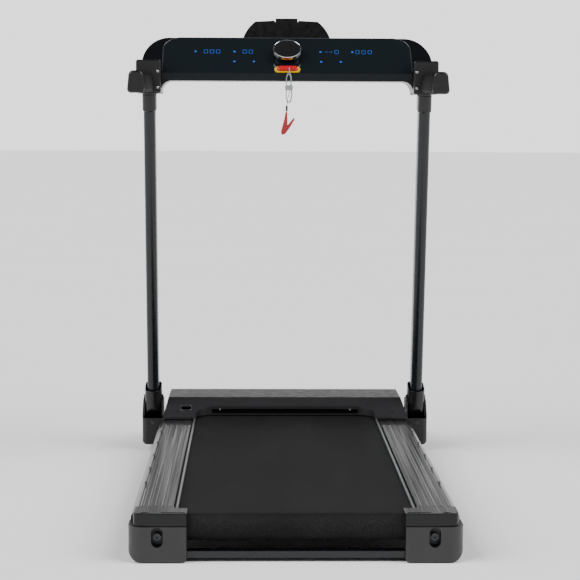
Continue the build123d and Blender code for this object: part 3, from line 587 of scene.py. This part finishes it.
# ---------------------------------------------------------------- operators
class TREADMILL_OT_deck(bpy.types.Operator):
    """Belt, foot rails, edge strips, end caps and the deck under them"""
    bl_idname = "treadmill.deck"
    bl_label = "Deck"

    CAP_STEP = 0.094  # the cap tops' faces above this height carry on the rail's finish
    INLAY_COUNT = 5
    INLAY_SIZE = (0.0052, 0.088, 0.0014)
    INLAY_SIDE, INLAY_START, INLAY_HEIGHT = 0.2995, -0.44, 0.0949
    INLAY_PITCH = 0.155
    INLAY_LEAN = 5  # degrees

    def execute(self, context):
        paint_nodes(woven_pvc_belt, "running_belt")
        for side in ("left", "right"):
            softened(f"foot_rail_{side}", f"ribbed_rail_{side}", extruded_rail_pvc, 0.5 * MM, 2, 20)
            softened(f"end_cap_{side}", f"corner_cap_{side}", grained_abs, 1.4 * MM, 3)
        tops = softened("cap_tops", "gloss_cap_tops", gloss_abs, 4.0 * MM, 6)
        second_finish(tops, extruded_rail_pvc,
                      lambda face: face.normal.z > 0.9 and face.center.z > self.CAP_STEP)
        softened("rail_strips", "edge_strips", anodised_aluminium, 0.6 * MM, 2)
        for side, sign in (("left", -1), ("right", 1)):
            self.grip_inlays(side, sign)
        paint_nodes(powder_coated_steel, "side_beams", "crossbars")
        paint_nodes(faced_fibreboard, "deck_board")
        paint_nodes(vulcanised_rubber, "deck_cushions", "rubber_feet")
        paint_nodes(zinc_plated_steel, "roller_axles", "tension_blocks")
        paint_nodes(blackened_steel, "belt_bolt_left", "belt_bolt_right")
        paint_nodes(turned_steel, "rear_roller", "front_roller")
        return {"FINISHED"}

    def grip_inlays(self, side, sign):
        """Rubber inlays set slantwise along the rail's outer edge."""
        shape = bmesh.new()
        lean = Matrix.Rotation(radians(-sign * self.INLAY_LEAN), 4, "Z")
        for index in range(self.INLAY_COUNT):
            along = self.INLAY_START + index * self.INLAY_PITCH
            place = Matrix.Translation((sign * self.INLAY_SIDE, along, self.INLAY_HEIGHT))
            add_bar(shape, self.INLAY_SIZE, place @ lean, 0.6 * MM)
        install(finish_mesh(shape, f"grip_inlays_{side}"), vulcanised_rubber, "deck")


class TREADMILL_OT_hood(bpy.types.Operator):
    """Motor hood, its window, and what it covers"""
    bl_idname = "treadmill.hood"
    bl_label = "Motor hood"

    WINDOW = (-0.252, 0.465, 0.1055)
    WINDOW_SIZE = (0.0252, 0.0252, 0.0045)
    BEZEL_HALF, BEZEL_CORNER, BEZEL_RADIUS = 13.6, 5.0, 1.1  # mm
    BEZEL_HEIGHT = 0.1122
    HOOD_SLOPE = 33 / 118  # rise over run of the hood's front face
    BAND_SIZE = (0.372, 0.0016, 0.0165)
    BAND_Y, BAND_Z = 0.4728, 0.1065
    BAND_SCREW = [(0, 0), (2.2, 0), (2.8, 0.6), (2.6, 1.3), (1.3, 1.5), (1.3, 0.7), (0, 0.7)]
    BAND_SCREW_X, BAND_SCREW_Y = 0.166, 0.472
    SOCKET_X, PIN_DEPTH = -0.215, 8 * MM
    PIN_SIZE = (4 * MM, 9 * MM, 2 * MM)
    PINS = ((-7, -1.5), (7, -1.5), (0, 1.5))  # across and up from the socket's middle, in mm

    def execute(self, context):
        softened("motor_hood", "hood_moulding", grained_abs, sizes().mould_edge, 4)
        self.receiver_window()
        self.recess_band()
        self.socket_pins()
        paint_nodes(grained_abs, "belly_pan", "power_inlet", "power_switch")
        paint_nodes(powder_coated_steel, "motor_case", "motor_bracket", "wheel_brackets")
        paint_nodes(cast_aluminium, "motor_controller")
        paint_nodes(turned_steel, "motor_rotor")
        paint_nodes(zinc_plated_steel, "hood_screws")
        paint_nodes(vulcanised_rubber, "drive_belt", "transport_wheel_left", "transport_wheel_right")
        return {"FINISHED"}

    def receiver_window(self):
        """Dark lens in the hood's small pocket, ringed by a grey bead that is a painted highlight on the pocket's
        rim.
        """
        shape = bmesh.new()
        add_bar(shape, self.WINDOW_SIZE, Matrix.Translation(self.WINDOW), 1.2 * MM)
        install(finish_mesh(shape, "receiver_window"), gloss_abs, "deck")
        corner = self.BEZEL_CORNER
        middle = self.BEZEL_HALF - corner
        flat = []
        for turn, x, y in ((0, 1, 1), (1, -1, 1), (2, -1, -1), (3, 1, -1)):
            for step in range(7):
                angle = pi / 2 * (turn + step / 6)
                flat.append((x * middle + corner * cos(angle), y * middle + corner * sin(angle)))
        flat.append(flat[0])
        centre_x, centre_y = self.WINDOW[:2]
        points = [Vector((centre_x + x * MM, centre_y + y * MM, self.BEZEL_HEIGHT + y * MM * self.HOOD_SLOPE))
                  for x, y in flat]
        # painted highlight: the grey bezel stands in for light caught on the pocket's rim
        swept(points, self.BEZEL_RADIUS * MM, "window_highlight_bezel", painted_highlight_bead, "deck")

    def recess_band(self):
        """Glossy strip along the back of the hood's recess, held by two screws."""
        shape = bmesh.new()
        add_bar(shape, self.BAND_SIZE, Matrix.Translation((0, self.BAND_Y, self.BAND_Z)), 0.5 * MM)
        install(finish_mesh(shape, "recess_band"), gloss_abs, "deck")
        for side, sign in (("left", -1), ("right", 1)):
            place = (sign * self.BAND_SCREW_X, self.BAND_SCREW_Y, self.BAND_Z)
            turned(self.BAND_SCREW, place, (0, -1, 0), 20, f"band_screw_{side}", zinc_plated_steel, "deck")

    def socket_pins(self):
        """Three flat pins in the mains socket."""
        shape = bmesh.new()
        low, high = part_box("power_inlet")
        middle = Vector((self.SOCKET_X, high[1] - self.PIN_DEPTH, (low[2] + high[2]) / 2))
        for x, z in self.PINS:
            place = Matrix.Translation(middle + Vector((x * MM, 0, z * MM)))
            add_bar(shape, self.PIN_SIZE, place, 0.3 * MM)
        install(finish_mesh(shape, "socket_pins"), turned_brass, "deck")


class TREADMILL_OT_uprights(bpy.types.Operator):
    """Fold hinges, tubes, sleeves and collars"""
    bl_idname = "treadmill.uprights"
    bl_label = "Uprights"

    def execute(self, context):
        fine = sizes().fine_edge
        softened("hinge_covers", "hinge_housings", satin_abs, fine, 3)
        softened("upright_sleeves", "foot_sleeves", satin_abs, fine, 3)
        softened("upright_collars", "top_collars", satin_abs, fine, 3)
        paint_nodes(powder_coated_steel, "upright_tube_left", "upright_tube_right", "hinge_brackets")
        paint_nodes(zinc_plated_steel, "hinge_pins")
        paint_nodes(blackened_steel, "lock_button_left", "lock_button_right")
        return {"FINISHED"}


class TREADMILL_OT_console(bpy.types.Operator):
    """Console housing, glossy panel, pods, grips and tablet rest"""
    bl_idname = "treadmill.console"
    bl_label = "Console"

    # The panel's outline, in mm from the dial's centre.
    PANEL_HALF, PANEL_CORNER = 306.4, 44.0
    PANEL_LOW, PANEL_HIGH = -60.0, 70.6
    BEAD_RADIUS = 0.9
    CORNER_STEPS = 12
    POD_SCREW = [(0, 0.4), (1.6, 0.4), (1.6, 2.2), (2.8, 2.2), (3.3, 1.7), (3.3, -2.0), (0, -2.0)]
    POD_SCREW_X = 0.3155
    POD_SCREW_HEIGHTS = (0.921, 0.960)

    def execute(self, context):
        softened("console_shell", "console_housing", console_back_abs, sizes().mould_edge, 4)
        softened("console_panel", "touch_panel", smoked_acrylic, sizes().fine_edge, 3)
        softened("tablet_holder", "tablet_flap", satin_abs, 0.6 * MM, 2)
        for side in ("left", "right"):
            softened(f"console_pod_{side}", f"grip_pod_{side}", satin_abs, sizes().fine_edge, 3)
            softened(f"hand_grip_{side}", f"foam_grip_{side}", foam_rubber, sizes().fine_edge, 3)
        softened("grip_caps", "grip_ends", satin_abs, 3.2 * MM, 4)
        paint_nodes(solder_masked_board, "display_board")
        paint_nodes(satin_abs, "knob_encoder")
        self.pod_screws()
        self.panel_highlight_bead()
        return {"FINISHED"}

    def panel_highlight_bead(self):
        """Bright bead round the glossy panel's sides and top: a painted highlight, standing in for the light
        caught on the panel's edge.
        """
        half, corner = self.PANEL_HALF, self.PANEL_CORNER
        low, high = self.PANEL_LOW, self.PANEL_HIGH
        flat = [(-half, low), (-half, (low + high) / 2)]
        for step in range(self.CORNER_STEPS + 1):
            angle = pi - pi / 2 * step / self.CORNER_STEPS
            flat.append((-half + corner + corner * cos(angle), high - corner + corner * sin(angle)))
        flat += [(-x, up) for x, up in reversed(flat)]
        base = panel_place(0, 0)
        points = [base @ Vector((x * MM, up * MM, 0)) for x, up in flat]
        # painted highlight: a grey bead along the panel's edge in place of the light it catches
        swept(points, self.BEAD_RADIUS * MM, "panel_highlight_bead", painted_highlight_bead, "upright_frame")

    def pod_screws(self):
        """Socket screws on each pod's face, beside its grip."""
        for side, sign in (("left", -1), ("right", 1)):
            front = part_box(f"console_pod_{side}")[0][1]
            for index, height in enumerate(self.POD_SCREW_HEIGHTS):
                place = Vector((sign * self.POD_SCREW_X, front, height))
                turned(self.POD_SCREW, place, (0, -1, 0), 24, f"pod_screw_{side}_{index + 1}",
                       zinc_plated_steel, "upright_frame")


class TREADMILL_OT_display(bpy.types.Operator):
    """Lit figures and icons on the panel"""
    bl_idname = "treadmill.display"
    bl_label = "Display"

    # All in mm: places across the panel, from its middle, and rows, up from the dial's centre.
    FIGURES = ((-185.5, 3), (-97.0, 2), (123.0, 1), (190.0, 3))  # middle, count of noughts
    DASHES = (98.0, 109.0)
    UPPER_MARKS = (-226.0, -130.0, 83.0, 162.0)
    LOWER_MARKS = (-130.0, -82.0, 84.0, 132.0)
    UPPER_ROW, LOWER_ROW = 15.8, -23.0
    LIFT = 0.12  # above the panel's face
    BAR_DEPTH = 0.3
    MARK_RADIUS, MARK_DEPTH = 3.2, 0.2
    WIDTH_SHARE = 0.62  # a figure's width over its height
    FIGURE_PITCH = 1.75  # figures' spacing over their width

    def execute(self, context):
        shape = bmesh.new()
        height = sizes().digit_height
        width = height * self.WIDTH_SHARE
        for centre, count in self.FIGURES:
            for index in range(count):
                x = centre * MM + (index - (count - 1) / 2) * width * self.FIGURE_PITCH
                self.nought(shape, x, width, height)
        for x in self.DASHES:
            dash = (7 * MM, 1.3 * MM, self.BAR_DEPTH * MM)
            add_bar(shape, dash, self.place(x, self.UPPER_ROW), 0.1 * MM)
        for x in self.UPPER_MARKS:
            self.mark(shape, x, self.UPPER_ROW, 4)
        for x in self.LOWER_MARKS:
            self.mark(shape, x, self.LOWER_ROW, 3)
        install(finish_mesh(shape, "display_figures"), lit_display, "upright_frame")
        return {"FINISHED"}

    def place(self, x, up):
        """Just above the panel, from millimetres."""
        return panel_place(x * MM, up * MM, self.LIFT * MM)

    def nought(self, shape, x, width, height):
        """A seven-segment nought: six bars."""
        stroke, depth = height * 0.08, self.BAR_DEPTH * MM
        upright, level = (stroke, height * 0.4, depth), (width * 0.78, stroke, depth)
        base = panel_place(x, self.UPPER_ROW * MM, self.LIFT * MM)
        for side in (-1, 1):
            for end in (-1, 1):
                add_bar(shape, upright, base @ Matrix.Translation((side * width / 2, end * height / 4, 0)))
            add_bar(shape, level, base @ Matrix.Translation((0, side * height / 2, 0)))

    def mark(self, shape, x, up, corners):
        """A small solid icon: a disc cut to a few corners."""
        made = bmesh.ops.create_circle(shape, cap_ends=True, segments=corners * 2,
                                       radius=self.MARK_RADIUS * MM, matrix=self.place(x, up))
        face = made["verts"][0].link_faces[0]
        lifted = bmesh.ops.extrude_face_region(shape, geom=[face])
        verts = [item for item in lifted["geom"] if isinstance(item, bmesh.types.BMVert)]
        bmesh.ops.translate(shape, vec=PANEL_NORMAL * self.MARK_DEPTH * MM, verts=verts)


class TREADMILL_OT_dial(bpy.types.Operator):
    """Speed dial: skirt, bright rim and dished face"""
    bl_idname = "treadmill.dial"
    bl_label = "Speed dial"

    # Radius and height above the panel, in mm.
    SKIRT = [(4.1, 1.6), (28.6, 1.6), (29.6, 2.6), (29.8, 9), (31.2, 12.6), (31.2, 14), (4.1, 14)]
    FACE = [(0, 14), (32.7, 14), (32.7, 21.8), (32.0, 22.5), (29, 22.1), (18, 20.9), (8, 20.4), (0, 20.2)]
    RIM = [(32.8, 14.1), (34.2, 14.1), (35, 15.0), (35, 22.2), (34.3, 23.3), (33.4, 23.5), (32.8, 22.9)]

    def execute(self, context):
        skirt = self.lathe("dial_skirt", self.SKIRT, gloss_abs, 96)
        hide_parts("knob_base")
        face = self.lathe("dial_face", self.FACE, spun_anodised_black, 96)
        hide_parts("knob_face")
        rim = self.lathe("dial_rim", self.RIM, polished_aluminium, sizes().knurl_count * 2)
        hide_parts("knob_ring")
        paint_nodes(zinc_plated_steel, "knob_shaft")
        return {"FINISHED"}

    def lathe(self, name, profile, maker, steps):
        """Spins a profile round the dial's axis, closed where it doesn't start on the axis."""
        closed = profile if profile[0][0] == 0 else profile + profile[:1]
        return turned(closed, DIAL_CENTRE, PANEL_NORMAL, steps, name, maker, "speed_knob")


class TREADMILL_OT_safety_key(bpy.types.Operator):
    """Safety key in its dock, with its tether, ferrule and clip"""
    bl_idname = "treadmill.safety_key"
    bl_label = "Safety key and tether"

    TIE_PLACE = (0.0037, 0.3352, 0.9155)
    TIE_HALVES = (0.0094, 0.0092, 1)
    TIE_HEIGHT, TIE_THICKNESS = 0.012, 0.6 * MM
    # Radius and height in mm: two crimped waists in the sleeve, and a coil's envelope.
    FERRULE = [(0, -1.2), (2.2, -1.2), (2.7, -0.6), (2.7, 2.6), (2.1, 3.4), (2.1, 4.6), (2.7, 5.4),
               (2.7, 7.2), (2.1, 8.0), (2.1, 9.2), (2.6, 10), (2.2, 11.9), (0, 11.9)]
    SPRING = [(1.15, -2.0), (1.7, -2.0), (1.7, 2.0), (1.15, 2.0), (1.15, -2.0)]

    def execute(self, context):
        softened("key_dock", "yellow_dock", moulded_yellow_abs, 0.7 * MM, 2)
        paint_nodes(moulded_red_abs, "safety_key")
        tether = self.tether()
        pieces = [self.hank_tie(), self.ferrule(), *self.clip()]
        return {"FINISHED"}

    def tether(self):
        """The tether as one free cord along its route."""
        curve = bpy.data.curves.new("tether_cord", "CURVE")
        curve.dimensions = "3D"
        spline = curve.splines.new("NURBS")
        spline.points.add(len(TETHER_ROUTE) - 1)
        for point, place in zip(spline.points, TETHER_ROUTE):
            point.co = (*place, 1.0)
        spline.order_u = 3
        spline.use_endpoint_u = True
        spline.resolution_u = 16
        curve.bevel_depth = sizes().tether_thickness / 2
        curve.bevel_resolution = 4
        curve.use_fill_caps = True
        piece = bpy.data.objects.new("tether_cord", curve)
        bpy.context.scene.collection.objects.link(piece)
        install(piece, braided_polyester, "safety_key")
        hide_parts("safety_tether")
        return piece

    def hank_tie(self):
        """Woven band that holds the tether's loops together at mid height."""
        shape = bmesh.new()
        outer = bmesh.ops.create_circle(shape, segments=40, radius=1.0)["verts"]
        bmesh.ops.scale(shape, vec=self.TIE_HALVES, verts=outer)
        wall = bmesh.ops.extrude_edge_only(shape, edges=list(shape.edges))
        top = [item for item in wall["geom"] if isinstance(item, bmesh.types.BMVert)]
        bmesh.ops.translate(shape, vec=(0, 0, self.TIE_HEIGHT), verts=top)
        bmesh.ops.recalc_face_normals(shape, faces=shape.faces)
        bmesh.ops.solidify(shape, geom=list(shape.faces), thickness=self.TIE_THICKNESS)
        bmesh.ops.transform(shape, matrix=Matrix.Translation(self.TIE_PLACE), verts=shape.verts)
        piece = finish_mesh(shape, "hank_tie")
        return install(piece, braided_polyester, "safety_key")

    def ferrule(self):
        """Black crimped sleeve at the tether's end."""
        end = Vector(TETHER_ROUTE[-1])
        down = end - Vector(TETHER_ROUTE[-2])
        piece = turned(self.FERRULE, end, down, 32, "crimped_ferrule", vulcanised_rubber, "safety_key")
        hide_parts("tether_ferrule")
        return piece

    def clip(self):
        """Spring clip: its two dipped jaws, and the coil at their pivot."""
        jaws = [frame["nodes"][name] for name in ("clip_fixed_jaw", "clip_moving_jaw")]
        for jaw in jaws:
            paint(jaw, dipped_vinyl)
        spring = turned(self.SPRING, CLIP_PIVOT, (0, 1, 0), 24, "clip_spring", zinc_plated_steel,
                        "clip_lever")
        return [*jaws, spring]


class TREADMILL_OT_stage(bpy.types.Operator):
    """Camera, white floor, soft lights and bright horizon"""
    bl_idname = "treadmill.stage"
    bl_label = "Stage"

    EYE = Vector((-0.085, -4.014, 0.823))
    PITCH, YAW, ROLL = 5.21, 1.23, 0.254  # degrees
    LENS, SENSOR = 110.05, 36.0  # mm
    FLOOR_RADIUS = 60.0
    # Name, aim, spread in degrees, strength.
    LAMPS = (
        ("left_softbox", (1.0, 0.45, -0.95), 50, 3.7),
        ("right_softbox", (-1.0, 0.4, -1.0), 50, 3.5),
    )
    LAMP_DISTANCE = 4
    # The air's strength falls from the horizon's to the sky's between these heights of view, and
    # behind the camera it drops to a share of what it is ahead.
    HORIZON, SKY = (0.15, 1.85), (0.27, 0.12)
    BEHIND, AHEAD = (-0.3, 0.4), (0.6, 1.0)

    def execute(self, context):
        self.camera(context.scene)
        self.floor()
        self.lights(context.scene)
        self.air(context.scene)
        return {"FINISHED"}

    def camera(self, scene):
        """Long lens at chest height behind the deck, looking slightly down along it."""
        pitch, yaw, roll = radians(self.PITCH), radians(self.YAW), radians(self.ROLL)
        ahead = Vector((sin(yaw) * cos(pitch), cos(yaw) * cos(pitch), -sin(pitch)))
        right = Vector((cos(yaw), -sin(yaw), 0))
        over = right.cross(ahead)
        turned_right = right * cos(roll) + over * sin(roll)
        turned_over = over * cos(roll) - right * sin(roll)
        data = bpy.data.cameras.new("studio_camera")
        data.lens = self.LENS
        data.sensor_width = self.SENSOR
        camera = bpy.data.objects.new("studio_camera", data)
        basis = Matrix((turned_right, turned_over, -ahead)).transposed().to_4x4()
        camera.matrix_world = Matrix.Translation(self.EYE) @ basis
        scene.collection.objects.link(camera)
        scene.camera = camera

    def floor(self):
        """Wide round floor, so that its edge meets the bright horizon."""
        shape = bmesh.new()
        bmesh.ops.create_circle(shape, cap_ends=True, segments=96, radius=self.FLOOR_RADIUS)
        piece = as_object(shape, "white_floor")
        paint(piece, studio_paint)

    def lights(self, scene):
        """A soft lamp high on each side, and none where the glossy panel would mirror it."""
        for name, aim, spread, strength in self.LAMPS:
            data = bpy.data.lights.new(name, "SUN")
            data.angle = radians(spread)
            data.energy = strength
            lamp = bpy.data.objects.new(name, data)
            lamp.location = -Vector(aim) * self.LAMP_DISTANCE
            lamp.rotation_euler = Vector(aim).to_track_quat("-Z", "Y").to_euler()
            scene.collection.objects.link(lamp)

    def air(self, scene):
        """Surroundings that are bright at the horizon and dim overhead."""
        world = bpy.data.worlds.new("studio_air")
        world.use_nodes = True
        tree = world.node_tree
        direction = add(tree, "ShaderNodeTexCoord").outputs["Generated"]
        parts = add(tree, "ShaderNodeSeparateXYZ", {"Vector": direction})
        shares = []
        for way, (start, low), (end, high) in (("Z", self.HORIZON, self.SKY), ("Y", self.BEHIND, self.AHEAD)):
            inputs = {"Value": parts.outputs[way], "From Min": start, "From Max": end,
                      "To Min": low, "To Max": high}
            shares.append(add(tree, "ShaderNodeMapRange", inputs).outputs["Result"])
        strength = add(tree, "ShaderNodeMath", dict(enumerate(shares)), operation="MULTIPLY")
        tree.links.new(strength.outputs["Value"], tree.nodes["Background"].inputs["Strength"])
        tree.nodes["Background"].inputs["Color"].default_value = (1, 1, 1, 1)
        scene.world = world


class TREADMILL_PT_panel(bpy.types.Panel):
    """Sidebar list of the treadmill's settings and pieces"""
    bl_idname = "TREADMILL_PT_panel"
    bl_label = "Treadmill"
    bl_space_type = "VIEW_3D"
    bl_region_type = "UI"
    bl_category = "Treadmill"

    def draw(self, context):
        for group in (context.scene.treadmill_sizes, context.scene.treadmill_colours):
            box = self.layout.box()
            for key in group.__annotations__:
                box.prop(group, key)
        for operator in OPERATORS:
            self.layout.operator(operator.bl_idname)


OPERATORS = (
    TREADMILL_OT_stage, TREADMILL_OT_safety_key, TREADMILL_OT_deck, TREADMILL_OT_hood, TREADMILL_OT_uprights,
    TREADMILL_OT_console, TREADMILL_OT_display, TREADMILL_OT_dial,
)
CLASSES = (TreadmillSizes, TreadmillColours, *OPERATORS, TREADMILL_PT_panel)


def register():
    for cls in CLASSES:
        bpy.utils.register_class(cls)
    bpy.types.Scene.treadmill_sizes = bpy.props.PointerProperty(type=TreadmillSizes)
    bpy.types.Scene.treadmill_colours = bpy.props.PointerProperty(type=TreadmillColours)


def unregister():
    del bpy.types.Scene.treadmill_colours
    del bpy.types.Scene.treadmill_sizes
    for cls in reversed(CLASSES):
        bpy.utils.unregister_class(cls)


def main():
    register()
    bpy.ops.treadmill.stage()
    bpy.ops.treadmill.safety_key()
    bpy.ops.treadmill.deck()
    bpy.ops.treadmill.hood()
    bpy.ops.treadmill.uprights()
    bpy.ops.treadmill.console()
    bpy.ops.treadmill.display()
    bpy.ops.treadmill.dial()


if __name__ == "__main__":
    main()
